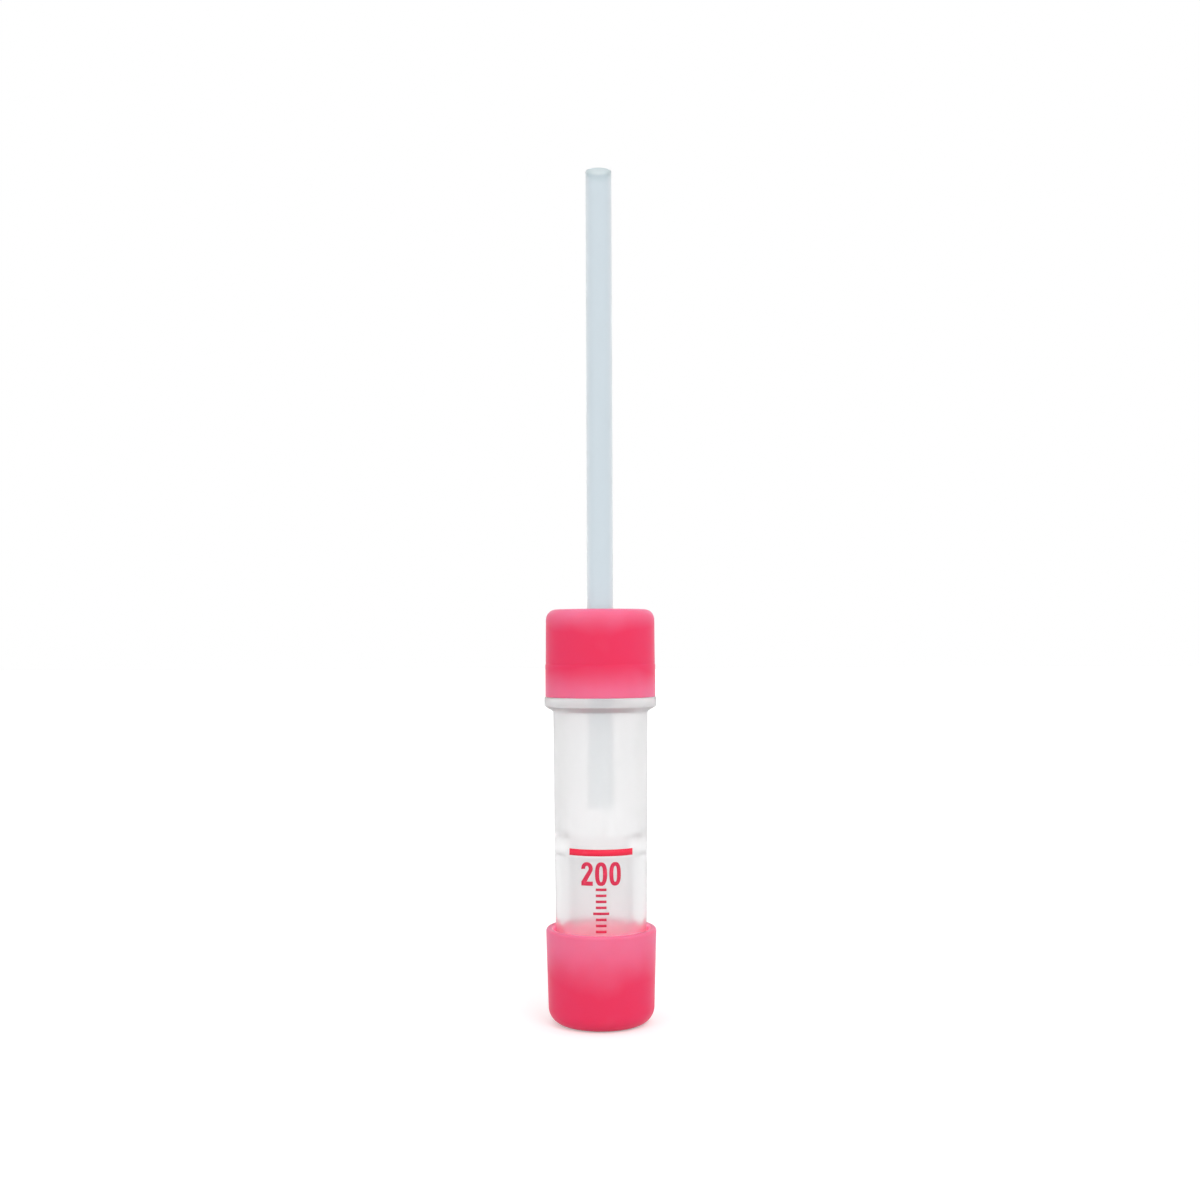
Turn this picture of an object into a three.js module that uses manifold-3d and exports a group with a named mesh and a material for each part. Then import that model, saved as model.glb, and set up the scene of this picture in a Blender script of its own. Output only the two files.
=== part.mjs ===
// A capillary blood collection tube, standing on its closure cap.
// From the bottom up: the closure cap, pushed over the tube's foot; the clear tube, whose narrow
// vessel hangs inside a round outer skirt; the collection cap on the tube's neck; and the long
// capillary that the collection cap holds on the axis.
// Millimetres, +Z up. The origin is the centre of the closure cap's underside.
import * as THREE from "three";
import { mergeVertices } from "three/addons/utils/BufferGeometryUtils.js";
import Module from "manifold-3d";

const wasm = await Module();
wasm.setup();

// Fits, all radial
const neckClearance = 0.05; // collection cap's skirt on the neck
const plugClearance = 0.05; // closure cap's plug in the mouth, and in the foot
const closureClearance = 0.1; // closure cap's skirt round the neck
const capillaryClearance = 0.04; // capillary in its holder

// Tube: neck and collar
const mouthBore = 7.3;
const neckWall = 0.8;
const neckHeight = 3.1;
const neckLead = 0.25; // chamfer at the neck's outer and inner edge
const collarOverhang = 0.95; // how far the collar stands out from the neck
const collarEdge = 0.9; // height of the collar's upright edge
const collarUndercut = 0.5; // height of the slope from the collar down to the body

// Tube: body, from its foot to the top of its collar
const bodyLength = 30;
const bodyWall = 0.9; // under the collar
const footWall = 0.62; // at the foot, where the skirt is thinnest
const boreDraft = 0.1; // how much the bore's radius shrinks down to the funnel
const footDraft = 0.05; // how much the skirt's inner radius shrinks from the foot up

// Tube: funnel and inner vessel
const boreDepth = 16; // from the mouth down to the funnel
const funnelDepth = 1.8;
const vesselGap = 0.55; // air between the vessel and the skirt round it
const vesselWall = 0.55;
const vesselDraft = 0.15; // how much the vessel's radius shrinks towards its tip
const vesselTipRadius = 0.6; // inside, where the cone ends
const vesselConeDepth = 2; // inside, from the straight wall to the floor
const vesselLift = 3; // from the foot up to the vessel's tip, which hangs inside the plug

// Closure cap
const closureHeight = 9.1;
const closureWall = 0.75; // of the skirt, at the rim
const closureDraft = 0.2; // how much the outer radius shrinks from the rim to the base
const closureFloor = 1.2;
const baseRounding = 1.6;
const lipRounding = 0.3;
const plugRecess = 0.2; // how far the plug's top lies below the rim
const plugWall = 0.5;
const plugLead = 0.3;

// Collection cap
const headHeight = 5.3; // above the neck
const skirtWall = 0.8;
const skirtStep = 0.03; // how far the skirt stands out from the head
const headDraft = 0.04;
const headRounding = 1;
const skirtLead = 0.2; // chamfer inside the skirt's open end
const recessRim = 0.25; // between the edge of the head's recess and the mouth
const recessRoof = 1.3; // plastic above the recess
const recessDraft = 0.1; // how much either side of the recess leans in towards its roof
const holderRootWall = 1.3; // round the capillary, where the holder leaves the head
const holderLength = 2.6; // how far the holder's cone hangs below the head
const holderTipWall = 0.55;
const holderCountersink = 0.3;
const ventCount = 3; // grooves that let air out along the capillary
const ventWidth = 0.5;
const ventDepth = 0.3;

// Capillary
const capillaryDiameter = 2.5;
const capillaryWall = 0.23;
const capillaryLength = 61.7;
const capillaryReach = 10.75; // how far it hangs below the collection cap's open end
const capillaryRounding = 0.08;

const facets = 60; // sides of every round wall, the same on all pieces, so that fits stay even
const cutOverrun = 0.5; // how far a cutting shape passes the surface it cuts

const capColour = 0xec4868;
const tubeColour = 0xe9ebec;
const capillaryColour = 0xd2dfe4;

// Radii and heights that follow from the values above
const mouthRadius = mouthBore / 2;
const neckRadius = mouthRadius + neckWall;
const capillaryRadius = capillaryDiameter / 2;
const plugRadius = mouthRadius - plugClearance;

// Points of an arc round (r, z) between two angles in degrees, counted from the outward direction.
function arc(r, z, radius, from, to, steps = 4) {
  const points = [];
  for (let i = 0; i <= steps; i++) {
    const angle = THREE.MathUtils.degToRad(THREE.MathUtils.lerp(from, to, i / steps));
    points.push([r + radius * Math.cos(angle), z + radius * Math.sin(angle)]);
  }
  return points;
}

// A solid turned about +Z from [radius, height] points.
function turned(profile) {
  const points = profile.map(([r, z]) => new THREE.Vector2(r, z));
  return new THREE.LatheGeometry(points, facets).rotateX(Math.PI / 2);
}

// The same, for a ring whose profile never meets the axis and closes on itself.
function turnedRing(profile) {
  return turned([...profile, profile[0]]);
}

function toSolid(geometry) {
  const bare = geometry.clone();
  bare.deleteAttribute("normal");
  bare.deleteAttribute("uv");
  const merged = mergeVertices(bare);
  const triVerts = new Uint32Array(merged.index.array);
  const vertProperties = merged.attributes.position.array;
  return new wasm.Manifold(new wasm.Mesh({ numProp: 3, vertProperties, triVerts }));
}

function toGeometry(solid) {
  const mesh = solid.getMesh();
  const geometry = new THREE.BufferGeometry();
  geometry.setAttribute("position", new THREE.BufferAttribute(mesh.vertProperties, 3));
  geometry.setIndex(new THREE.BufferAttribute(mesh.triVerts, 1));
  geometry.computeVertexNormals();
  return geometry;
}

function piece(name, geometry, color, roughness, opacity = 1) {
  const look = { color, roughness, metalness: 0, opacity, transparent: opacity < 1 };
  const mesh = new THREE.Mesh(geometry, new THREE.MeshStandardMaterial(look));
  mesh.name = name;
  return mesh;
}

// A cup with a hollow plug inside it. The plug nearly reaches the rim, so that it also seals the
// tube's mouth, where the collar stops the rim.
function closureCapGeometry() {
  const boreRadius = neckRadius + closureClearance;
  const rimRadius = boreRadius + closureWall;
  const baseRadius = rimRadius - closureDraft;
  const flatRadius = baseRadius - baseRounding;
  const plugTop = closureHeight - plugRecess;
  const plugBore = plugRadius - plugWall;
  return turned([
    [0, 0],
    ...arc(flatRadius, baseRounding, baseRounding, -90, 0, 7),
    ...arc(rimRadius - lipRounding, closureHeight - lipRounding, lipRounding, 0, 90),
    ...arc(boreRadius + lipRounding, closureHeight - lipRounding, lipRounding, 90, 180),
    [boreRadius, closureFloor],
    [plugRadius, closureFloor],
    [plugRadius, plugTop - plugLead],
    [plugRadius - plugLead, plugTop],
    [plugBore, plugTop],
    [plugBore, closureFloor],
    [0, closureFloor],
  ]);
}

// One moulding. Its profile runs down the bore, through the funnel and the vessel to the axis, and
// back from the axis round the vessel's outside, up to the fold, and down and up the outer wall.
function tubeGeometry() {
  const collarRadius = neckRadius + collarOverhang;
  const shoulderRadius = mouthRadius + bodyWall;
  const footRadius = mouthRadius + footWall;
  const neckTop = bodyLength + neckHeight;
  const collarBottom = bodyLength - collarEdge;

  const boreRadius = mouthRadius - boreDraft;
  const funnelTop = neckTop - boreDepth;
  const funnelBottom = funnelTop - funnelDepth;

  const foldRadius = mouthRadius - footDraft;
  const vesselOuter = foldRadius - vesselGap;
  const vesselInner = vesselOuter - vesselWall;
  const foldTop = funnelBottom - vesselWall;
  const coneBottom = vesselLift + vesselWall;
  const coneTop = coneBottom + vesselConeDepth;
  const tipOuter = vesselTipRadius + vesselWall / 2;
  const foldCentre = foldRadius - vesselGap / 2;

  return turned([
    [0, coneBottom],
    [vesselTipRadius, coneBottom],
    [vesselInner - vesselDraft, coneTop],
    [vesselInner, funnelBottom],
    [boreRadius, funnelTop],
    [mouthRadius, neckTop - neckLead],
    [mouthRadius + neckLead, neckTop],
    [neckRadius - neckLead, neckTop],
    [neckRadius, neckTop - neckLead],
    [neckRadius, bodyLength],
    [collarRadius, bodyLength],
    [collarRadius, collarBottom],
    [shoulderRadius, collarBottom - collarUndercut],
    [footRadius, 0],
    [mouthRadius, 0],
    ...arc(foldCentre, foldTop, vesselGap / 2, 0, 180),
    [vesselOuter - vesselDraft, coneTop],
    [tipOuter, vesselLift],
    [0, vesselLift],
  ].reverse());
}

// A head with a skirt that slips over the neck, and a holder whose cone hangs into the mouth. Round
// the holder the head is hollow, open to the mouth. Heights are counted from the skirt's open end.
function collectionCapGeometry() {
  const skirtBore = neckRadius + neckClearance;
  const skirtRadius = skirtBore + skirtWall;
  const headRadius = skirtRadius - skirtStep;
  const headTop = neckHeight + headHeight;
  const topRadius = headRadius - headDraft - headRounding;
  const boreRadius = capillaryRadius + capillaryClearance;
  const holderTip = neckHeight - holderLength;
  const holderRoot = boreRadius + holderRootWall;
  const recessTop = headTop - recessRoof;
  const recessRadius = mouthRadius - recessRim;
  const body = turnedRing([
    [skirtBore + skirtLead, 0],
    [skirtRadius, 0],
    [skirtRadius, neckHeight],
    [headRadius, neckHeight + skirtStep],
    ...arc(topRadius, headTop - headRounding, headRounding, 0, 90, 6),
    [boreRadius + holderCountersink, headTop],
    [boreRadius, headTop - holderCountersink],
    [boreRadius, holderTip],
    [boreRadius + holderTipWall, holderTip],
    [holderRoot, neckHeight],
    [holderRoot + recessDraft, recessTop],
    [recessRadius - recessDraft, recessTop],
    [recessRadius, neckHeight],
    [skirtBore, neckHeight],
    [skirtBore, skirtLead],
  ]);
  return toGeometry(cutVents(toSolid(body), boreRadius, headTop));
}

// Straight grooves along the bore, evenly spaced round it.
function cutVents(solid, boreRadius, headTop) {
  const reach = boreRadius + ventDepth;
  const height = headTop + 2 * cutOverrun;
  let vented = solid;
  for (let i = 0; i < ventCount; i++) {
    const groove = new THREE.BoxGeometry(reach, ventWidth, height);
    groove.translate(reach / 2, 0, headTop / 2);
    groove.rotateZ(Math.PI / 2 + (2 * Math.PI * i) / ventCount);
    vented = vented.subtract(toSolid(groove));
  }
  return vented;
}

// A thin straight tube with softened ends.
function capillaryGeometry() {
  const inner = capillaryRadius - capillaryWall;
  const soft = Math.min(capillaryRounding, capillaryWall / 2.5);
  return turnedRing([
    ...arc(capillaryRadius - soft, soft, soft, -90, 0, 3),
    ...arc(capillaryRadius - soft, capillaryLength - soft, soft, 0, 90, 3),
    ...arc(inner + soft, capillaryLength - soft, soft, 90, 180, 3),
    ...arc(inner + soft, soft, soft, 180, 270, 3),
  ]);
}

const bloodTube = new THREE.Group();
bloodTube.add(piece("closure_cap", closureCapGeometry(), capColour, 0.35));

const onClosureFloor = new THREE.Group();
onClosureFloor.position.z = closureFloor;
onClosureFloor.add(piece("tube_body", tubeGeometry(), tubeColour, 0.25, 0.45));
bloodTube.add(onClosureFloor);

const onCollar = new THREE.Group();
onCollar.position.z = bodyLength;
onCollar.add(piece("collection_cap", collectionCapGeometry(), capColour, 0.35));
onClosureFloor.add(onCollar);

const capillary = piece("capillary", capillaryGeometry(), capillaryColour, 0.2, 0.6);
capillary.position.z = -capillaryReach;
onCollar.add(capillary);

export default bloodTube;
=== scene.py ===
# A capillary blood collection tube on a white table: smooth turned pieces, printed marks and
# translucent plastics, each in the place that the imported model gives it.
import math

import bmesh
import bpy
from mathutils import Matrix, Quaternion, Vector


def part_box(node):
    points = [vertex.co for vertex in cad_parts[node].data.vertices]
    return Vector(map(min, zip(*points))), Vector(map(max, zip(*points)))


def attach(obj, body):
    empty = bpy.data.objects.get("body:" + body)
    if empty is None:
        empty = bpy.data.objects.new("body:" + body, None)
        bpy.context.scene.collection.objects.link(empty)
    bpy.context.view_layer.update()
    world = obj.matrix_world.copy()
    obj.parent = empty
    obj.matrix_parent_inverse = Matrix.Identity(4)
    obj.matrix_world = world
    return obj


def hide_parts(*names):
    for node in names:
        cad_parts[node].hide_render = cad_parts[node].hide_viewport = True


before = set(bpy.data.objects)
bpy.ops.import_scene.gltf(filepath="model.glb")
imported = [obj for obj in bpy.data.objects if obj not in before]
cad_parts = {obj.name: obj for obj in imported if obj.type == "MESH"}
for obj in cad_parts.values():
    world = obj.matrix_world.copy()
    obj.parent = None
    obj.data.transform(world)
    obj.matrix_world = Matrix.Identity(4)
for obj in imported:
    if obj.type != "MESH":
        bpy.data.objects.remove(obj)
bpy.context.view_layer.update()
mm = 0.001  # outlines are written in millimetres, Blender's unit is the metre
print("frame loaded:", ", ".join(sorted(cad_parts)))


view = {
    "distance": 150,     # from the tube's axis
    "height": 37.2,
    "aimHeight": 40.5,
    "lens": 46.63,
    "roll": -0.22,       # in degrees; the view leans a little
}


def addCamera(v):
    data = bpy.data.cameras.new("camera")
    data.lens = v["lens"]
    data.clip_start = 0.005
    data.clip_end = 10
    camera = bpy.data.objects.new("camera", data)
    bpy.context.collection.objects.link(camera)
    camera.location = (0, -v["distance"] * mm, v["height"] * mm)
    aim = Vector((0, 0, v["aimHeight"] * mm)) - camera.location
    lean = Quaternion((0, 0, 1), math.radians(v["roll"]))
    camera.rotation_euler = (aim.to_track_quat("-Z", "Y") @ lean).to_euler()
    bpy.context.scene.camera = camera


addCamera(view)


def addNode(tree, kind, settings=None, **inputs):
    node = tree.nodes.new(kind)
    for name, value in (settings or {}).items():
        setattr(node, name, value)
    for name, value in inputs.items():
        socket = node.inputs[name.replace("_", " ")]
        if isinstance(value, bpy.types.NodeSocket):
            tree.links.new(value, socket)
        else:
            socket.default_value = value
    return node


def mathNode(tree, operation, first, second=None):
    node = tree.nodes.new("ShaderNodeMath")
    node.operation = operation
    for socket, value in zip(node.inputs, (first, second)):
        if isinstance(value, bpy.types.NodeSocket):
            tree.links.new(value, socket)
        elif value is not None:
            socket.default_value = value
    return node.outputs[0]


def newTree(name, kind, inputs, outputs):
    tree = bpy.data.node_groups.new(name, kind)
    for label, socketType in inputs.items():
        tree.interface.new_socket(label, in_out="INPUT", socket_type="NodeSocket" + socketType)
    for label, socketType in outputs.items():
        tree.interface.new_socket(label, in_out="OUTPUT", socket_type="NodeSocket" + socketType)
    return tree, tree.nodes.new("NodeGroupInput").outputs, tree.nodes.new("NodeGroupOutput").inputs


def runTree(holder, tree, values):
    # Gives the holder the tree with these inputs, and returns the result as a plain mesh.
    modifier = holder.modifiers.new(tree.name, "NODES")
    modifier.node_group = tree
    ids = {item.name: item.identifier for item in tree.interface.items_tree}
    for name, value in values.items():
        modifier[ids[name]] = value
    shading = holder.modifiers.new("shading", "WEIGHTED_NORMAL")
    shading.weight = 100
    seen = holder.evaluated_get(bpy.context.evaluated_depsgraph_get())
    made = bpy.data.meshes.new_from_object(seen)
    bpy.data.objects.remove(holder)
    return made


turning = {
    "sides": 160,
    "railRadius": 1.0,     # of the helper circle that the outline is swept round
    "leastSteps": 3,       # in each rounded corner
    "stepsPerMm": 7,
    "weld": 0.0002,
}


def turnedTree():
    # Rounds the outline's corners by its own fillet attribute, and sweeps it round a circle.
    inputs = {"Outline": "Geometry", "Sides": "Int", "Rail Radius": "Float", "Least Steps": "Int",
              "Steps per Metre": "Float", "Weld": "Float", "Finish": "Material"}
    tree, given, result = newTree("turnedPiece", "GeometryNodeTree", inputs, {"Piece": "Geometry"})
    fillet = addNode(tree, "GeometryNodeInputNamedAttribute", {"data_type": "FLOAT"},
                     Name="fillet")
    radius = fillet.outputs["Attribute"]
    extra = mathNode(tree, "MULTIPLY", radius, given["Steps per Metre"])
    steps = mathNode(tree, "ADD", extra, given["Least Steps"])
    line = addNode(tree, "GeometryNodeMeshToCurve", Mesh=given["Outline"])
    rounded = addNode(tree, "GeometryNodeFilletCurve", {"mode": "POLY"}, Curve=line.outputs[0],
                      Count=steps, Radius=radius, Limit_Radius=True)
    circle = addNode(tree, "GeometryNodeCurvePrimitiveCircle", Resolution=given["Sides"],
                     Radius=given["Rail Radius"])
    upright = addNode(tree, "GeometryNodeSetCurveNormal", {"mode": "Z_UP"},
                      Curve=circle.outputs["Curve"])
    swept = addNode(tree, "GeometryNodeCurveToMesh", Curve=upright.outputs[0],
                    Profile_Curve=rounded.outputs[0])
    welded = addNode(tree, "GeometryNodeMergeByDistance", Geometry=swept.outputs[0],
                     Distance=given["Weld"])
    smooth = addNode(tree, "GeometryNodeSetShadeSmooth", Geometry=welded.outputs[0])
    real = addNode(tree, "GeometryNodeRealizeInstances", Geometry=smooth.outputs[0])
    coated = addNode(tree, "GeometryNodeSetMaterial", Geometry=real.outputs[0],
                     Material=given["Finish"])
    tree.links.new(coated.outputs[0], result[0])
    return tree


turnedPiece = turnedTree()


def turn(name, outline, closed, finish):
    # outline: (radius, height, corner rounding) from the axis or round a ring, in millimetres.
    pairs = zip(outline, outline[1:] + outline[:1])
    if sum(a[0] * b[1] - b[0] * a[1] for a, b in pairs) > 0:
        outline = outline[::-1]  # one way round for all pieces, so that faces point outwards
    rail = turning["railRadius"]
    points = [((r - rail) * mm, -z * mm, 0) for r, z, fillet in outline]
    edges = [(i, i + 1) for i in range(len(points) - 1)]
    if closed:
        edges.append((len(points) - 1, 0))
    line = bpy.data.meshes.new(name + "_outline")
    line.from_pydata(points, edges, [])
    fillets = line.attributes.new("fillet", "FLOAT", "POINT")
    fillets.data.foreach_set("value", [fillet * mm for r, z, fillet in outline])
    holder = bpy.data.objects.new(name + "_outline", line)
    bpy.context.collection.objects.link(holder)
    mesh = runTree(holder, turnedPiece, {
        "Sides": turning["sides"], "Rail Radius": rail * mm, "Least Steps": turning["leastSteps"],
        "Steps per Metre": turning["stepsPerMm"] / mm, "Weld": turning["weld"] * mm,
        "Finish": finish})
    return mesh


def addPiece(name, mesh, body, slot, *nodes):
    mesh.name = name
    piece = bpy.data.objects.new(name, mesh)
    bpy.context.collection.objects.link(piece)
    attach(piece, body)
    if nodes:
        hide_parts(*nodes)
    shape = bmesh.new()
    shape.from_mesh(mesh)
    volume = shape.calc_volume(signed=True) / mm ** 3
    shape.free()
    print(f"made {name}: {len(mesh.polygons)} faces, {volume:.1f} mm3")
    return piece


def reach(node):
    # A node's lowest and highest point and its radius, in millimetres.
    low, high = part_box(node)
    return low.z / mm, high.z / mm, high.x / mm


def plainMaterial(name):
    material = bpy.data.materials.new(name)
    material.use_nodes = True
    return material, material.node_tree, material.node_tree.nodes["Principled BSDF"]


def useGroup(tree, group, values):
    node = tree.nodes.new("ShaderNodeGroup")
    node.node_tree = group
    for name, value in values.items():
        if isinstance(value, bpy.types.NodeSocket):
            tree.links.new(value, node.inputs[name])
        else:
            node.inputs[name].default_value = value
    return node.outputs


def mixColour(tree, share, first, second):
    node = addNode(tree, "ShaderNodeMix", {"data_type": "RGBA"})
    for index, value in ((0, share), (6, first), (7, second)):
        if isinstance(value, bpy.types.NodeSocket):
            tree.links.new(value, node.inputs[index])
        else:
            node.inputs[index].default_value = value
    return node.outputs[2]


def mouldedGroup():
    # The skin of a moulding: a fine grain over slow unevenness, as bump and as a mask.
    inputs = {"Place": "Vector", "Grain per Metre": "Float", "Grain Depth": "Float",
              "Waves per Metre": "Float", "Wave Depth": "Float"}
    outputs = {"Normal": "Vector", "Grain": "Float", "Waves": "Float"}
    tree, given, result = newTree("mouldedSkin", "ShaderNodeTree", inputs, outputs)
    waves = addNode(tree, "ShaderNodeTexNoise", Vector=given["Place"],
                    Scale=given["Waves per Metre"], Detail=1.5, Roughness=0.4)
    grain = addNode(tree, "ShaderNodeTexNoise", Vector=given["Place"],
                    Scale=given["Grain per Metre"], Detail=2.5, Roughness=0.6)
    soft = addNode(tree, "ShaderNodeBump", Strength=1, Distance=given["Wave Depth"],
                   Height=waves.outputs[0])
    fine = addNode(tree, "ShaderNodeBump", Strength=1, Distance=given["Grain Depth"],
                   Height=grain.outputs[0], Normal=soft.outputs[0])
    tree.links.new(fine.outputs[0], result["Normal"])
    tree.links.new(grain.outputs[0], result["Grain"])
    tree.links.new(waves.outputs[0], result["Waves"])
    return tree


handling = {
    "smudgeEdge": (0.5, 0.72),     # of the noise, from clean to touched
    "rubEdge": (0.62, 0.72),
    "rubStretch": 0.07,            # draws the rubs out upwards
    "rubShare": 0.6,
}


def handlingGroup(v):
    # Where fingers and the packing tray have touched: soft smudges, and thin upright rubs.
    inputs = {"Place": "Vector", "Smudges per Metre": "Float", "Rubs per Metre": "Float"}
    tree, given, result = newTree("handlingMarks", "ShaderNodeTree", inputs, {"Mask": "Float"})
    cloud = addNode(tree, "ShaderNodeTexNoise", Vector=given["Place"],
                    Scale=given["Smudges per Metre"], Detail=4, Roughness=0.65, Distortion=0.8)
    smudge = addNode(tree, "ShaderNodeMapRange", {"interpolation_type": "SMOOTHSTEP"},
                     Value=cloud.outputs[0], From_Min=v["smudgeEdge"][0],
                     From_Max=v["smudgeEdge"][1])
    flat = addNode(tree, "ShaderNodeMapping", Vector=given["Place"],
                   Scale=(1, 1, v["rubStretch"]))
    lines = addNode(tree, "ShaderNodeTexNoise", Vector=flat.outputs[0],
                    Scale=given["Rubs per Metre"], Detail=2, Roughness=0.5)
    rub = addNode(tree, "ShaderNodeMapRange", {"interpolation_type": "SMOOTHSTEP"},
                  Value=lines.outputs[0], From_Min=v["rubEdge"][0], From_Max=v["rubEdge"][1])
    faint = mathNode(tree, "MULTIPLY", rub.outputs[0], v["rubShare"])
    tree.links.new(mathNode(tree, "MAXIMUM", smudge.outputs[0], faint), result["Mask"])
    return tree


def heightGroup():
    # 0 at the low height and 1 at the high one, with soft ends.
    inputs = {"Place": "Vector", "Low": "Float", "High": "Float"}
    tree, given, result = newTree("heightFade", "ShaderNodeTree", inputs, {"Share": "Float"})
    parts = addNode(tree, "ShaderNodeSeparateXYZ", Vector=given["Place"])
    fade = addNode(tree, "ShaderNodeMapRange", {"interpolation_type": "SMOOTHSTEP"},
                   Value=parts.outputs["Z"], From_Min=given["Low"], From_Max=given["High"])
    tree.links.new(fade.outputs[0], result["Share"])
    return tree


def axisGroup():
    # 1 nearer the tube's axis than one radius and 0 beyond the other.
    inputs = {"Place": "Vector", "Within": "Float", "Beyond": "Float"}
    tree, given, result = newTree("axisFade", "ShaderNodeTree", inputs, {"Share": "Float"})
    flat = addNode(tree, "ShaderNodeMapping", Vector=given["Place"], Scale=(1, 1, 0))
    radius = addNode(tree, "ShaderNodeVectorMath", {"operation": "LENGTH"})
    tree.links.new(flat.outputs[0], radius.inputs[0])
    fade = addNode(tree, "ShaderNodeMapRange", Value=radius.outputs["Value"],
                   From_Min=given["Beyond"], From_Max=given["Within"])
    tree.links.new(fade.outputs[0], result["Share"])
    return tree


mouldedSkin = mouldedGroup()
handlingMarks = handlingGroup(handling)
heightFade = heightGroup()
axisFade = axisGroup()


def placeNode(tree):
    return addNode(tree, "ShaderNodeTexCoord").outputs["Object"]


def fadeAt(tree, place, heights):
    return useGroup(tree, heightFade, {
        "Place": place, "Low": heights[0] * mm, "High": heights[1] * mm})[0]


def nearAxis(tree, place, radii):
    return useGroup(tree, axisFade, {
        "Place": place, "Within": radii[0] * mm, "Beyond": radii[1] * mm})[0]


def skinOf(tree, place, v):
    return useGroup(tree, mouldedSkin, {
        "Place": place, "Grain per Metre": v["grainPerMm"] / mm,
        "Grain Depth": v["grainDepth"] * mm, "Waves per Metre": v["wavesPerMm"] / mm,
        "Wave Depth": v["waveDepth"] * mm})


def touchedMask(tree, place, v):
    return useGroup(tree, handlingMarks, {
        "Place": place, "Smudges per Metre": v["smudgesPerMetre"],
        "Rubs per Metre": v["rubsPerMetre"]})["Mask"]


def roughen(tree, shader, mask, v):
    spread = addNode(tree, "ShaderNodeMapRange", Value=mask, To_Min=v["roughness"],
                     To_Max=v["roughness"] + v["smudgeRoughness"])
    tree.links.new(spread.outputs[0], shader.inputs["Roughness"])


capPlastic = {
    "deep": (0.78, 0.05, 0.13, 1),
    # painted light: the paler red of the bands where light comes through the caps' thin walls
    "pale": (0.82, 0.19, 0.325, 1),
    "thin": (0.9, 0.28, 0.42, 1),       # painted light inside the closure cap, paler for light through its thin walls
    "insideRadius": (4.6, 4.8),
    "insideHeights": (1.4, 3),
    "paintedGlow": (0.85, 0.1, 0.2, 1),  # painted glow, an emission for light that the thin walls let into it
    "paintedGlowStrength": 0.6,
    "roughness": 0.34,
    "smudgeRoughness": 0.12,
    "gloss": 0.05,
    "scatterDepth": 0.25,
    "scatterReach": (1, 0.35, 0.4),    # of red, green and blue
    "rimFade": (3.0, 8.6),         # heights between which the closure cap is painted paler, painted light for light through its thin rim
    "headFade": (36.8, 39.9),      # the collection cap, up
    "skirtFade": (31.0, 34.7),     # and down
    "betweenCaps": (20, 22),       # keeps the fades of the two caps apart
    "paintedSideShade": 0.3,          # painted shade, deeper towards the left and right
    "sideRadius": 5.3,
    "unevenness": 0.4,
    "grainPerMm": 9,
    "grainDepth": 0.002,
    "wavesPerMm": 0.35,
    "waveDepth": 0.01,
    "smudgesPerMetre": 260,
    "rubsPerMetre": 2600,
}


def capMaterial(v):
    material, tree, shader = plainMaterial("capPlastic")
    place = placeNode(tree)
    skin = skinOf(tree, place, v)
    touched = touchedMask(tree, place, v)
    # Painted light: the caps are painted paler at the closure cap's rim and at the collection
    # cap's head and skirt, for light that comes through their thin walls and falls on the rounded
    # head, made uneven by the slow waves.
    low = fadeAt(tree, place, v["rimFade"])
    past = fadeAt(tree, place, v["betweenCaps"])
    high = fadeAt(tree, place, v["headFade"])
    above = fadeAt(tree, place, v["skirtFade"])
    rim = mathNode(tree, "SUBTRACT", low, past)
    skirt = mathNode(tree, "SUBTRACT", past, above)
    thin = mathNode(tree, "ADD", mathNode(tree, "ADD", rim, high), skirt)
    parts = addNode(tree, "ShaderNodeSeparateXYZ", Vector=place)
    # Painted shade: the caps' colour is deepened towards their left and right.
    across = mathNode(tree, "DIVIDE", parts.outputs["X"], v["sideRadius"] * mm)
    squared = mathNode(tree, "MULTIPLY", across, across)
    deeper = mathNode(tree, "MULTIPLY", squared, v["paintedSideShade"])
    centred = mathNode(tree, "SUBTRACT", skin["Waves"], 0.5)    # the noise lies round 0.5
    uneven = mathNode(tree, "MULTIPLY", centred, v["unevenness"])
    share = mathNode(tree, "ADD", mathNode(tree, "SUBTRACT", thin, deeper), uneven)
    share = addNode(tree, "ShaderNodeClamp", Value=share).outputs[0]
    colour = mixColour(tree, share, v["deep"], v["pale"])
    # Painted light inside the closure cap: its hollow gets a paler colour and an emission glow,
    # for light let in through its thin walls.
    inside = nearAxis(tree, place, v["insideRadius"])
    lifted = fadeAt(tree, place, v["insideHeights"])
    cavity = mathNode(tree, "MULTIPLY", inside, mathNode(tree, "SUBTRACT", lifted, past))
    tree.links.new(mixColour(tree, cavity, colour, v["thin"]), shader.inputs["Base Color"])
    glow = mixColour(tree, cavity, (0, 0, 0, 1), v["paintedGlow"])
    tree.links.new(glow, shader.inputs["Emission Color"])
    shader.inputs["Emission Strength"].default_value = v["paintedGlowStrength"]
    tree.links.new(skin["Normal"], shader.inputs["Normal"])
    roughen(tree, shader, touched, v)
    shader.inputs["Specular IOR Level"].default_value = v["gloss"]
    shader.inputs["Subsurface Weight"].default_value = 1
    shader.inputs["Subsurface Radius"].default_value = v["scatterReach"]
    shader.inputs["Subsurface Scale"].default_value = v["scatterDepth"] * mm
    return material


tubePlastic = {
    "colour": (0.985, 0.985, 0.988, 1),
    "core": (0.985, 0.985, 0.988, 1),    # of what stands inside the outer wall
    "coreRadius": (3.2, 3.4),
    "scuffed": (0.965, 0.966, 0.97, 1),
    "transmission": 0.75,
    "refraction": 1.3,
    "roughness": 0.3,
    "smudgeRoughness": 0.03,
    "grainPerMm": 6,
    "grainDepth": 0.0003,
    "wavesPerMm": 0.3,
    "waveDepth": 0.002,
    "smudgesPerMetre": 200,
    "rubsPerMetre": 2200,
}


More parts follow.
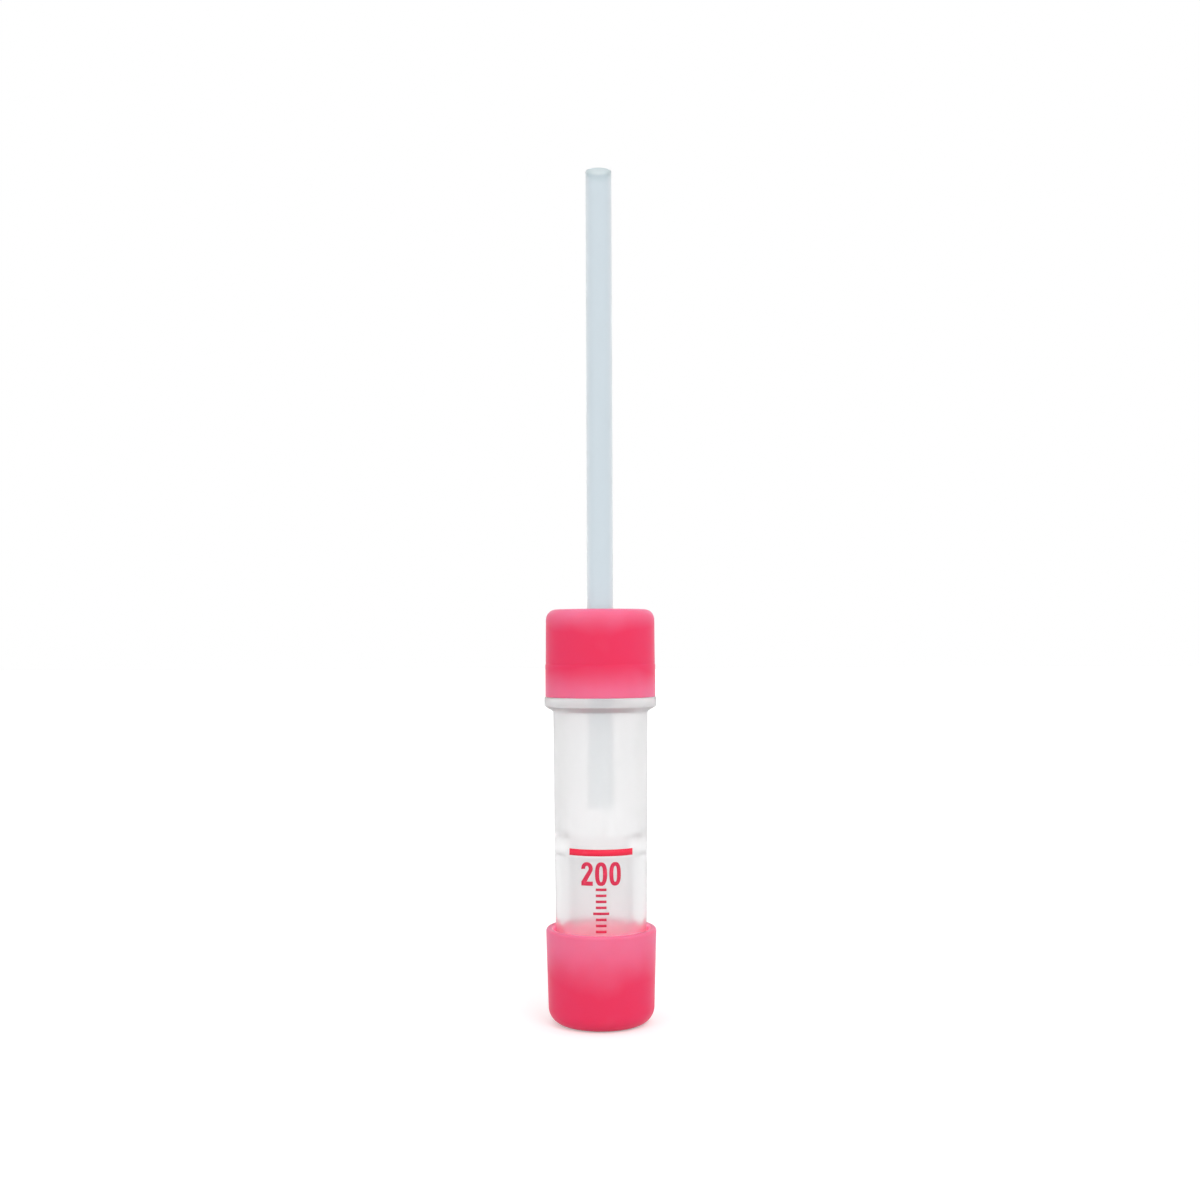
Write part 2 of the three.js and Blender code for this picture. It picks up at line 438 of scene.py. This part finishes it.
vesselPlastic = {
    "colour": (0.92, 0.92, 0.924, 1),
    # painted light: the inner vessel is made whiter than the outer wall, for light lost through
    # the nested clear walls
    "core": (1.0, 1.0, 1.0, 1),
    "coreRadius": (3.2, 3.4),
    "scuffed": (0.9, 0.901, 0.906, 1),
    "transmission": 0.88,
    "refraction": 1.12,
    "roughness": 0.3,
    "smudgeRoughness": 0.04,
    "grainPerMm": 6,
    "grainDepth": 0.0003,
    "wavesPerMm": 0.3,
    "waveDepth": 0.002,
    "smudgesPerMetre": 200,
    "rubsPerMetre": 2200,
}


def tubeMaterial(name, v):
    material, tree, shader = plainMaterial(name)
    place = placeNode(tree)
    skin = skinOf(tree, place, v)
    touched = touchedMask(tree, place, v)
    # What stands inside the outer wall takes the core colour; where that is whiter than the wall,
    # it is painted light for light lost through the nested walls.
    core = nearAxis(tree, place, v["coreRadius"])
    worn = mixColour(tree, touched, v["colour"], v["scuffed"])
    tree.links.new(mixColour(tree, core, worn, v["core"]), shader.inputs["Base Color"])
    roughen(tree, shader, touched, v)
    tree.links.new(skin["Normal"], shader.inputs["Normal"])
    shader.inputs["Transmission Weight"].default_value = v["transmission"]
    shader.inputs["IOR"].default_value = v["refraction"]
    return material


capillaryPlastic = {
    "colour": (0.8, 0.85, 0.88, 1),
    "paintedPaleColour": (0.92, 0.945, 0.955, 1),   # painted light: paler lower down, inside the tube, where the frosted tube wall scatters light over it
    "fade": (22, 40),
    "paintedEndShade": (0.66, 0.74, 0.76, 1),        # painted shade, darker at the very top, at the rounded end
    "endFade": (81.3, 81.9),
    "transmission": 0.95,
    "refraction": 1.2,
    "roughness": 0.3,
    "smudgeRoughness": 0.05,
    "smudgesPerMetre": 300,
    "rubsPerMetre": 3000,
}


def capillaryMaterial(v):
    material, tree, shader = plainMaterial("capillaryPlastic")
    place = placeNode(tree)
    # Painted light: the capillary is painted paler lower down, inside the tube.
    above = fadeAt(tree, place, v["fade"])
    # Painted shade: the capillary is painted darker at its very top.
    end = fadeAt(tree, place, v["endFade"])
    outside = mixColour(tree, end, v["colour"], v["paintedEndShade"])
    tree.links.new(mixColour(tree, above, v["paintedPaleColour"], outside), shader.inputs["Base Color"])
    roughen(tree, shader, touchedMask(tree, place, v), v)
    shader.inputs["Transmission Weight"].default_value = v["transmission"]
    shader.inputs["IOR"].default_value = v["refraction"]
    return material


printInk = {
    "colour": (0.84, 0.018, 0.06, 1),
    "deeper": (0.62, 0.02, 0.068, 1),     # of the numerals and the ladder, under the bar
    "deeperBelow": (16.0, 16.4),
    "worn": (0.82, 0.05, 0.11, 1),
    "roughness": 0.42,
    "smudgeRoughness": 0.1,
    "gloss": 0.3,
    "smudgesPerMetre": 900,
    "rubsPerMetre": 5000,
}


def inkMaterial(v):
    material, tree, shader = plainMaterial("printInk")
    place = placeNode(tree)
    touched = touchedMask(tree, place, v)
    above = fadeAt(tree, place, v["deeperBelow"])
    ink = mixColour(tree, above, v["deeper"], v["colour"])
    tree.links.new(mixColour(tree, touched, ink, v["worn"]), shader.inputs["Base Color"])
    roughen(tree, shader, touched, v)
    shader.inputs["Specular IOR Level"].default_value = v["gloss"]
    return material


capFinish = capMaterial(capPlastic)
tubeFinish = tubeMaterial("tubePlastic", tubePlastic)
vesselFinish = tubeMaterial("vesselPlastic", vesselPlastic)
capillaryFinish = capillaryMaterial(capillaryPlastic)
inkFinish = inkMaterial(printInk)
print("materials ready")


closureCap = {
    "wall": 0.75,
    "draft": 0.26,
    "baseRounding": 1.6,
    "lip": 0.3,
    "plugRadius": 3.6,
    "plugWall": 0.5,
    "plugRecess": 0.2,     # from the rim down to the plug's top
    "plugLead": 0.3,
    "gateRadius": 1.1,     # the shallow round recess where the plastic came in
    "gateDepth": 0.22,
    "gateBevel": 0.15,
    "nubRadius": 0.35,
    "nubHeight": 0.12,
    "nubDraft": 0.08,
}


def closureCapOutline(v):
    low, high, rim = reach("closure_cap")
    floor = reach("tube_body")[0]
    bore = rim - v["wall"]
    plugTop = high - v["plugRecess"]
    plugBore = v["plugRadius"] - v["plugWall"]
    recess = low + v["gateDepth"]
    return [
        (0, recess - v["nubHeight"], 0),
        (v["nubRadius"] - v["nubDraft"], recess - v["nubHeight"], 0.05),
        (v["nubRadius"], recess, 0.05),
        (v["gateRadius"], recess, 0.1),
        (v["gateRadius"] + v["gateBevel"], low, 0.1),
        (rim - v["draft"], low, v["baseRounding"]),
        (rim, high, v["lip"]),
        (bore, high, v["lip"]),
        (bore, floor, 0.2),
        (v["plugRadius"], floor, 0.03),
        (v["plugRadius"], plugTop - v["plugLead"], 0.15),
        (v["plugRadius"] - v["plugLead"], plugTop, 0.1),
        (plugBore, plugTop, 0.1),
        (plugBore, floor, 0.2),
        (0, floor, 0),
    ]


tubeBody = {
    "neckRadius": 4.45,
    "neckLead": 0.25,
    "mouthRadius": 3.65,
    "boreRadius": 3.55,
    "boreDepth": 16,
    "funnelDepth": 1.8,
    "vesselInner": 2.5,
    "vesselDraft": 0.15,
    "vesselWall": 0.55,
    "vesselLift": 3,       # from the tube's foot up to the vessel's tip
    "coneDepth": 2,
    "tipRadius": 0.6,
    "skirtInner": 3.6,
    "footInner": 3.65,
    "footRadius": 4.27,
    "shoulderRadius": 4.55,
    "shoulderHeight": 28.6,    # these three are counted from the foot too
    "collarBottom": 29.1,
    "collarTop": 30,
    "gateRadius": 0.32,
    "gateLength": 0.2,
    "clearBelow": 17.9,    # counted down from the mouth; the finish changes here
}


def wallRadius(v, height):
    # The tube's outer radius, which grows evenly from the foot up to the shoulder.
    share = (height - reach("tube_body")[0]) / v["shoulderHeight"]
    return v["footRadius"] + share * (v["shoulderRadius"] - v["footRadius"])


def tubeOutline(v):
    low, high, collar = reach("tube_body")
    funnelTop = high - v["boreDepth"]
    funnelBottom = funnelTop - v["funnelDepth"]
    vesselOuter = v["vesselInner"] + v["vesselWall"]
    fold = (v["skirtInner"] - vesselOuter) / 2
    foldTop = funnelBottom - v["vesselWall"] + fold
    tip = low + v["vesselLift"]
    coneBottom = tip + v["vesselWall"]
    coneTop = coneBottom + v["coneDepth"]
    return [
        (0, coneBottom, 0),
        (v["tipRadius"], coneBottom, 0.3),
        (v["vesselInner"] - v["vesselDraft"], coneTop, 1.2),
        (v["vesselInner"], funnelBottom, 0.6),
        (v["boreRadius"], funnelTop, 0.8),
        (v["mouthRadius"], high - v["neckLead"], 0.1),
        (v["mouthRadius"] + v["neckLead"], high, 0.08),
        (v["neckRadius"] - v["neckLead"], high, 0.08),
        (v["neckRadius"], high - v["neckLead"], 0.1),
        (v["neckRadius"], low + v["collarTop"], 0.04),
        (collar, low + v["collarTop"], 0.14),
        (collar, low + v["collarBottom"], 0.16),
        (v["shoulderRadius"], low + v["shoulderHeight"], 0.25),
        (wallRadius(v, foldTop), foldTop, 0),
        (v["footRadius"], low, 0.1),
        (v["footInner"], low, 0.08),
        (v["skirtInner"], foldTop, fold),
        (vesselOuter, foldTop, fold),
        (vesselOuter - v["vesselDraft"], coneTop, 1.4),
        (v["tipRadius"] + v["vesselWall"] / 2, tip, 0.35),
        (v["gateRadius"], tip, 0.05),
        (v["gateRadius"] - 0.05, tip - v["gateLength"], 0.08),
        (0, tip - v["gateLength"], 0),
    ]


def clearFootTree():
    # Gives the faces below a height a finish of their own, which is clearer.
    inputs = {"Tube": "Geometry", "Height": "Float", "Finish": "Material"}
    tree, given, result = newTree("clearFoot", "GeometryNodeTree", inputs, {"Piece": "Geometry"})
    place = addNode(tree, "GeometryNodeInputPosition")
    parts = addNode(tree, "ShaderNodeSeparateXYZ", Vector=place.outputs[0])
    below = mathNode(tree, "LESS_THAN", parts.outputs["Z"], given["Height"])
    coated = addNode(tree, "GeometryNodeSetMaterial", Geometry=given["Tube"], Selection=below,
                     Material=given["Finish"])
    tree.links.new(coated.outputs[0], result[0])
    return tree


def clearFoot(mesh, height):
    holder = bpy.data.objects.new("tube_one_finish", mesh)
    bpy.context.collection.objects.link(holder)
    return runTree(holder, clearFootTree(), {"Height": height * mm, "Finish": vesselFinish})


collectionCap = {
    "wall": 0.8,
    "skirtHeight": 3.1,
    "skirtStep": 0.035,
    "stepHeight": 0.12,
    "headDraft": 0.04,
    "headRounding": 1.0,
    "skirtLead": 0.2,
    "bore": 1.29,
    "holderRoot": 2.59,
    "holderTipWall": 0.55,
    "holderLength": 2.6,
    "recessRadius": 3.4,
    "recessRoof": 1.3,     # plastic above the hollow ring
    "recessDraft": 0.1,
    "countersink": 0.3,
    "ventCount": 3,
    "ventWidth": 0.5,
    "ventDepth": 0.3,
}


def collectionCapOutline(v):
    low, high, skirt = reach("collection_cap")
    seat = low + v["skirtHeight"]
    skirtBore = skirt - v["wall"]
    head = skirt - v["skirtStep"]
    holderTip = seat - v["holderLength"]
    recessTop = high - v["recessRoof"]
    return [
        (skirtBore + v["skirtLead"], low, 0.05),
        (skirt, low, 0.08),
        (skirt, seat - v["stepHeight"] / 2, 0.04),
        (head, seat + v["stepHeight"] / 2, 0.04),
        (head - v["headDraft"], high, v["headRounding"]),
        (v["bore"] + v["countersink"], high, 0.08),
        (v["bore"], high - v["countersink"], 0.1),
        (v["bore"], holderTip, 0.05),
        (v["bore"] + v["holderTipWall"], holderTip, 0.12),
        (v["holderRoot"], seat, 0.2),
        (v["holderRoot"] + v["recessDraft"], recessTop, 0.25),
        (v["recessRadius"] - v["recessDraft"], recessTop, 0.25),
        (v["recessRadius"], seat, 0.1),
        (skirtBore, seat, 0.04),
        (skirtBore, low + v["skirtLead"], 0.05),
    ]


def ventTree():
    # Cuts evenly spaced grooves along the bore, with one box for each.
    inputs = {"Cap": "Geometry", "Count": "Int", "Box Size": "Vector", "Middle Height": "Float",
              "Finish": "Material"}
    tree, given, result = newTree("ventGrooves", "GeometryNodeTree", inputs, {"Piece": "Geometry"})
    size = addNode(tree, "ShaderNodeSeparateXYZ", Vector=given["Box Size"])
    ring = addNode(tree, "GeometryNodeMeshCircle", Vertices=given["Count"],
                   Radius=mathNode(tree, "DIVIDE", size.outputs["Y"], 2))
    box = addNode(tree, "GeometryNodeMeshCube", Size=given["Box Size"])
    index = addNode(tree, "GeometryNodeInputIndex")
    share = mathNode(tree, "DIVIDE", index.outputs[0], given["Count"])
    angle = mathNode(tree, "ADD", mathNode(tree, "MULTIPLY", share, 2 * math.pi), -math.pi / 2)
    turnBy = addNode(tree, "ShaderNodeCombineXYZ", Z=angle)
    boxes = addNode(tree, "GeometryNodeInstanceOnPoints", Points=ring.outputs[0],
                    Instance=box.outputs[0], Rotation=turnBy.outputs[0])
    lift = addNode(tree, "ShaderNodeCombineXYZ", Z=given["Middle Height"])
    raised = addNode(tree, "GeometryNodeTransform", Geometry=boxes.outputs[0],
                     Translation=lift.outputs[0])
    solid = addNode(tree, "GeometryNodeRealizeInstances", Geometry=raised.outputs[0])
    cut = addNode(tree, "GeometryNodeMeshBoolean",
                  {"operation": "DIFFERENCE", "solver": "MANIFOLD"})
    tree.links.new(given["Cap"], cut.inputs["Mesh 1"])
    tree.links.new(solid.outputs[0], cut.inputs["Mesh 2"])
    smooth = addNode(tree, "GeometryNodeSetShadeSmooth", Geometry=cut.outputs[0])
    coated = addNode(tree, "GeometryNodeSetMaterial", Geometry=smooth.outputs[0],
                     Material=given["Finish"])
    tree.links.new(coated.outputs[0], result[0])
    return tree


def cutVents(mesh, v):
    low, high, skirt = reach("collection_cap")
    holder = bpy.data.objects.new("collection_cap_uncut", mesh)
    bpy.context.collection.objects.link(holder)
    depth = v["bore"] + v["ventDepth"]
    size = Vector((v["ventWidth"], depth, high - low + 2)) * mm
    return runTree(holder, ventTree(), {
        "Count": v["ventCount"], "Box Size": size, "Middle Height": (low + high) / 2 * mm,
        "Finish": capFinish})


capillary = {
    "wall": 0.23,
    "endRounding": 0.09,
}


def capillaryOutline(v):
    low, high, outer = reach("capillary")
    inner = outer - v["wall"]
    soft = v["endRounding"]
    return [(outer, low, soft), (outer, high, soft), (inner, high, soft), (inner, low, soft)]


closureMesh = turn("closure_cap_skin", closureCapOutline(closureCap), False, capFinish)
addPiece("closure_cap_skin", closureMesh, "closure", "cap_red", "closure_cap")
tubeMesh = turn("tube_skin", tubeOutline(tubeBody), False, tubeFinish)
tubeMesh = clearFoot(tubeMesh, reach("tube_body")[1] - tubeBody["clearBelow"])
addPiece("tube_skin", tubeMesh, "tube", "clear_tube", "tube_body")
collectionMesh = turn("collection_cap_skin", collectionCapOutline(collectionCap), True, capFinish)
collectionMesh = cutVents(collectionMesh, collectionCap)
addPiece("collection_cap_skin", collectionMesh, "collector", "cap_red", "collection_cap")
capillaryMesh = turn("capillary_skin", capillaryOutline(capillary), True, capillaryFinish)
addPiece("capillary_skin", capillaryMesh, "capillary_rod", "capillary_clear", "capillary")


marks = {
    "fillHeight": 16.77,       # of the fill line's middle
    "fillThickness": 0.62,
    "fillHalfAngle": 42,       # degrees round the tube
    "numeralMiddle": 14.81,
    "numeralHeight": 2.2,
    "numeralWidth": 1.13,
    "numeralStroke": 0.39,
    "numeralPitch": 1.34,
    "tickCount": 10,
    "firstTick": 13.35,
    "tickSpacing": 0.56,
    "tickThickness": 0.24,
    "tickWidth": 1.0,
    "longTickWidth": 1.5,
    "longEvery": 5,
    "firstLong": 4,
    "film": 0.012,
    "gap": 0.003,              # keeps the ink off the tube's own facets
    "levelStroke": 0.9,        # how thick a level stroke is beside an upright one
    "zeroSquareness": 2.5,
    "bowlRise": 1.06,          # of the two's bowl, beside half its width
    "bowlStart": 188,          # degrees
    "bowlSweep": 223,
    "bowlSteps": 20,
    "legFoot": 1.4,            # strokes from the left end to where the leg meets the foot
}


def markTree():
    # Lays flat print round the tube's drafted wall, and gives it the thickness of ink.
    inputs = {"Numerals": "Geometry", "Line Width": "Float", "Line Thickness": "Float",
              "Line Height": "Float", "Tick Count": "Int", "First Tick": "Float",
              "Tick Spacing": "Float", "Tick Thickness": "Float", "Tick Width": "Float",
              "Long Tick Width": "Float", "Long Every": "Int", "First Long": "Int",
              "Foot Height": "Float", "Foot Radius": "Float", "Shoulder Height": "Float",
              "Shoulder Radius": "Float", "Gap": "Float", "Film": "Float", "Finish": "Material"}
    outputs = {"Print": "Geometry"}
    tree, given, result = newTree("printedMarks", "GeometryNodeTree", inputs, outputs)
    loops = addNode(tree, "GeometryNodeMeshToCurve", Mesh=given["Numerals"])
    filled = addNode(tree, "GeometryNodeFillCurve", Curve=loops.outputs[0])
    numerals = addNode(tree, "GeometryNodeSubdivideMesh", Mesh=filled.outputs[0], Level=2)
    bar = addNode(tree, "GeometryNodeMeshGrid", Size_X=given["Line Width"],
                  Size_Y=given["Line Thickness"], Vertices_X=80, Vertices_Y=2)
    barPlace = addNode(tree, "ShaderNodeCombineXYZ", Y=given["Line Height"])
    barUp = addNode(tree, "GeometryNodeTransform", Geometry=bar.outputs[0],
                    Translation=barPlace.outputs[0])

    start = addNode(tree, "ShaderNodeCombineXYZ", Y=given["First Tick"])
    down = mathNode(tree, "MULTIPLY", given["Tick Spacing"], -1)
    step = addNode(tree, "ShaderNodeCombineXYZ", Y=down)
    ladder = addNode(tree, "GeometryNodeMeshLine", Count=given["Tick Count"],
                     Start_Location=start.outputs[0], Offset=step.outputs[0])
    tick = addNode(tree, "GeometryNodeMeshGrid", Size_X=1, Size_Y=1, Vertices_X=12, Vertices_Y=2)
    index = addNode(tree, "GeometryNodeInputIndex")
    past = mathNode(tree, "SUBTRACT", index.outputs[0], given["First Long"])
    left = mathNode(tree, "FLOORED_MODULO", past, given["Long Every"])
    isLong = mathNode(tree, "LESS_THAN", left, 0.5)
    spare = mathNode(tree, "SUBTRACT", given["Long Tick Width"], given["Tick Width"])
    width = mathNode(tree, "ADD", mathNode(tree, "MULTIPLY", isLong, spare), given["Tick Width"])
    scale = addNode(tree, "ShaderNodeCombineXYZ", X=width, Y=given["Tick Thickness"], Z=1)
    ticks = addNode(tree, "GeometryNodeInstanceOnPoints", Points=ladder.outputs[0],
                    Instance=tick.outputs[0], Scale=scale.outputs[0])
    ticksReal = addNode(tree, "GeometryNodeRealizeInstances", Geometry=ticks.outputs[0])

    flat = addNode(tree, "GeometryNodeJoinGeometry")
    for part in (numerals, barUp, ticksReal):
        tree.links.new(part.outputs[0], flat.inputs[0])
    place = addNode(tree, "GeometryNodeInputPosition")
    xyz = addNode(tree, "ShaderNodeSeparateXYZ", Vector=place.outputs[0])
    wall = addNode(tree, "ShaderNodeMapRange", Value=xyz.outputs["Y"],
                   From_Min=given["Foot Height"], From_Max=given["Shoulder Height"],
                   To_Min=given["Foot Radius"], To_Max=given["Shoulder Radius"])
    radius = mathNode(tree, "ADD", wall.outputs[0], given["Gap"])
    angle = mathNode(tree, "DIVIDE", xyz.outputs["X"], radius)
    across = mathNode(tree, "MULTIPLY", radius, mathNode(tree, "SINE", angle))
    forward = mathNode(tree, "MULTIPLY", radius, mathNode(tree, "COSINE", angle))
    toFront = mathNode(tree, "MULTIPLY", forward, -1)
    wrappedPlace = addNode(tree, "ShaderNodeCombineXYZ", X=across, Y=toFront, Z=xyz.outputs["Y"])
    wrapped = addNode(tree, "GeometryNodeSetPosition", Geometry=flat.outputs[0],
                      Position=wrappedPlace.outputs[0])
    raised = addNode(tree, "GeometryNodeExtrudeMesh", {"mode": "FACES"}, Mesh=wrapped.outputs[0],
                     Offset_Scale=given["Film"], Individual=False)
    back = addNode(tree, "GeometryNodeFlipFaces", Mesh=wrapped.outputs[0])
    shell = addNode(tree, "GeometryNodeJoinGeometry")
    for part in (raised, back):
        tree.links.new(part.outputs[0], shell.inputs[0])
    welded = addNode(tree, "GeometryNodeMergeByDistance", Geometry=shell.outputs[0], Distance=1e-7)
    real = addNode(tree, "GeometryNodeRealizeInstances", Geometry=welded.outputs[0])
    coated = addNode(tree, "GeometryNodeSetMaterial", Geometry=real.outputs[0],
                     Material=given["Finish"])
    tree.links.new(coated.outputs[0], result[0])
    return tree


def oval(middle, halfWidth, halfHeight, power, count=48):
    # A superellipse: squarer than an ellipse where power is over 2.
    points = []
    for i in range(count):
        angle = 2 * math.pi * i / count
        c = math.cos(angle)
        s = math.sin(angle)
        points.append((middle + math.copysign(abs(c) ** (2 / power), c) * halfWidth,
                       math.copysign(abs(s) ** (2 / power), s) * halfHeight))
    return points


def zero(middle, v):
    half = v["numeralWidth"] / 2
    tall = v["numeralHeight"] / 2
    level = v["levelStroke"] * v["numeralStroke"]
    return [oval(middle, half, tall, v["zeroSquareness"]),
            oval(middle, half - v["numeralStroke"], tall - level, v["zeroSquareness"])]


def two(middle, v):
    # A bowl, a slanting leg and a flat foot.
    stroke = v["numeralStroke"]
    level = v["levelStroke"] * stroke
    half = v["numeralWidth"] / 2
    rise = half * v["bowlRise"]
    bowl = v["numeralHeight"] / 2 - rise
    foot = -v["numeralHeight"] / 2
    outer = []
    inner = []
    for i in range(v["bowlSteps"] + 1):
        angle = math.radians(v["bowlStart"] - v["bowlSweep"] * i / v["bowlSteps"])
        outer.append((middle + half * math.cos(angle), bowl + rise * math.sin(angle)))
        inner.append((middle + (half - stroke) * math.cos(angle),
                      bowl + (rise - level) * math.sin(angle)))
    base = [(middle - half + v["legFoot"] * stroke, foot + stroke), (middle + half, foot + stroke),
            (middle + half, foot), (middle - half, foot), (middle - half, foot + level)]
    return [outer + base + inner[::-1]]


def numeralLoops(v):
    pitch = v["numeralPitch"]
    loops = two(-pitch, v) + zero(0, v) + zero(pitch, v)
    mesh = bpy.data.meshes.new("numeral_outlines")
    points = []
    edges = []
    for loop in loops:
        first = len(points)
        points += [(x * mm, (y + v["numeralMiddle"]) * mm, 0) for x, y in loop]
        edges += [(first + i, first + (i + 1) % len(loop)) for i in range(len(loop))]
    mesh.from_pydata(points, edges, [])
    return mesh


def printMarks(v, tube):
    holder = bpy.data.objects.new("numeral_outlines", numeralLoops(v))
    bpy.context.collection.objects.link(holder)
    low = reach("tube_body")[0]
    radius = wallRadius(tube, v["fillHeight"])
    mesh = runTree(holder, markTree(), {
        "Line Width": 2 * math.radians(v["fillHalfAngle"]) * radius * mm,
        "Line Thickness": v["fillThickness"] * mm, "Line Height": v["fillHeight"] * mm,
        "Tick Count": v["tickCount"], "First Tick": v["firstTick"] * mm,
        "Tick Spacing": v["tickSpacing"] * mm, "Tick Thickness": v["tickThickness"] * mm,
        "Tick Width": v["tickWidth"] * mm, "Long Tick Width": v["longTickWidth"] * mm,
        "Long Every": v["longEvery"], "First Long": v["firstLong"],
        "Foot Height": low * mm, "Foot Radius": tube["footRadius"] * mm,
        "Shoulder Height": (low + tube["shoulderHeight"]) * mm,
        "Shoulder Radius": tube["shoulderRadius"] * mm, "Gap": v["gap"] * mm,
        "Film": v["film"] * mm, "Finish": inkFinish})
    addPiece("printed_marks", mesh, "tube", "print_red")


printMarks(marks, tubeBody)


# Places and sizes in metres.
studio = {
    "ambient": 0.82,
    "floorColour": (0.8, 0.8, 0.8, 1),
    "nearGlow": 0.34,       # white added to the table, round the part
    "farGlow": 0.6,         # and towards the horizon, where no lamp reaches
    "nearReach": 0.12,
    "farReach": 0.6,
    "keyPlace": (0.16, -0.33, 0.32),
    "keyPower": 0.6,
    "keySize": 0.22,
    "stripPlace": (-0.21, -0.31, 0.12),
    "stripPower": 0.25,
    "stripSize": (0.05, 0.35),
    "sidePlace": (0.36, -0.02, 0.06),
    "sidePower": 0.15,
    "sideSize": (0.12, 0.3),
    "lampAim": (0, 0, 0.03),
    "floorRoughness": 0.9,
    "floorGloss": 0.1,
    "floorHalf": 1.5,
    "clearBounces": 40,     # through the nested clear walls
    "glossyBounces": 12,
}


def seenRays(tree):
    # 1 for rays from the camera, from a gloss and through a clear wall, which show the white.
    path = tree.nodes.new("ShaderNodeLightPath").outputs
    shine = mathNode(tree, "MAXIMUM", path["Is Glossy Ray"], path["Is Transmission Ray"])
    return mathNode(tree, "MAXIMUM", path["Is Camera Ray"], shine)


def addWorld(v):
    world = bpy.data.worlds.new("studio")
    world.use_nodes = True
    tree = world.node_tree
    soft = tree.nodes["Background"]
    soft.inputs["Color"].default_value = (1, 1, 1, 1)
    soft.inputs["Strength"].default_value = v["ambient"]
    white = addNode(tree, "ShaderNodeBackground", Color=(1, 1, 1, 1), Strength=1)
    both = tree.nodes.new("ShaderNodeMixShader")
    tree.links.new(seenRays(tree), both.inputs[0])
    tree.links.new(soft.outputs[0], both.inputs[1])
    tree.links.new(white.outputs[0], both.inputs[2])
    tree.links.new(both.outputs[0], tree.nodes["World Output"].inputs["Surface"])
    bpy.context.scene.world = world


def addFloor(v):
    material, tree, shader = plainMaterial("tableTop")
    shader.inputs["Base Color"].default_value = v["floorColour"]
    shader.inputs["Roughness"].default_value = v["floorRoughness"]
    shader.inputs["Specular IOR Level"].default_value = v["floorGloss"]
    shader.inputs["Emission Color"].default_value = (1, 1, 1, 1)
    place = addNode(tree, "ShaderNodeTexCoord").outputs["Object"]
    distance = addNode(tree, "ShaderNodeVectorMath", {"operation": "LENGTH"})
    tree.links.new(place, distance.inputs[0])
    spread = addNode(tree, "ShaderNodeMapRange", Value=distance.outputs["Value"],
                     From_Min=v["nearReach"], From_Max=v["farReach"], To_Min=v["nearGlow"],
                     To_Max=v["farGlow"])
    glow = mathNode(tree, "MULTIPLY", seenRays(tree), spread.outputs[0])
    tree.links.new(glow, shader.inputs["Emission Strength"])
    mesh = bpy.data.meshes.new("table_top")
    half = v["floorHalf"]
    corners = [(-half, -half, 0), (half, -half, 0), (half, half, 0), (-half, half, 0)]
    mesh.from_pydata(corners, [], [(0, 1, 2, 3)])
    mesh.materials.append(material)
    floor = bpy.data.objects.new("table_top", mesh)
    bpy.context.collection.objects.link(floor)


def addLamp(name, place, power, size):
    data = bpy.data.lights.new(name, "AREA")
    data.energy = power
    data.shape = "RECTANGLE"
    data.size, data.size_y = size
    lamp = bpy.data.objects.new(name, data)
    bpy.context.collection.objects.link(lamp)
    lamp.location = place
    aim = Vector(studio["lampAim"]) - lamp.location
    lamp.rotation_euler = aim.to_track_quat("-Z", "Y").to_euler()


addWorld(studio)
addFloor(studio)
addLamp("key", studio["keyPlace"], studio["keyPower"], (studio["keySize"], studio["keySize"]))
addLamp("strip", studio["stripPlace"], studio["stripPower"], studio["stripSize"])
addLamp("side", studio["sidePlace"], studio["sidePower"], studio["sideSize"])
scene = bpy.context.scene
scene.view_settings.view_transform = "Standard"
scene.cycles.max_bounces = studio["clearBounces"]
scene.cycles.transmission_bounces = studio["clearBounces"]
scene.cycles.glossy_bounces = studio["glossyBounces"]
print("studio lit")
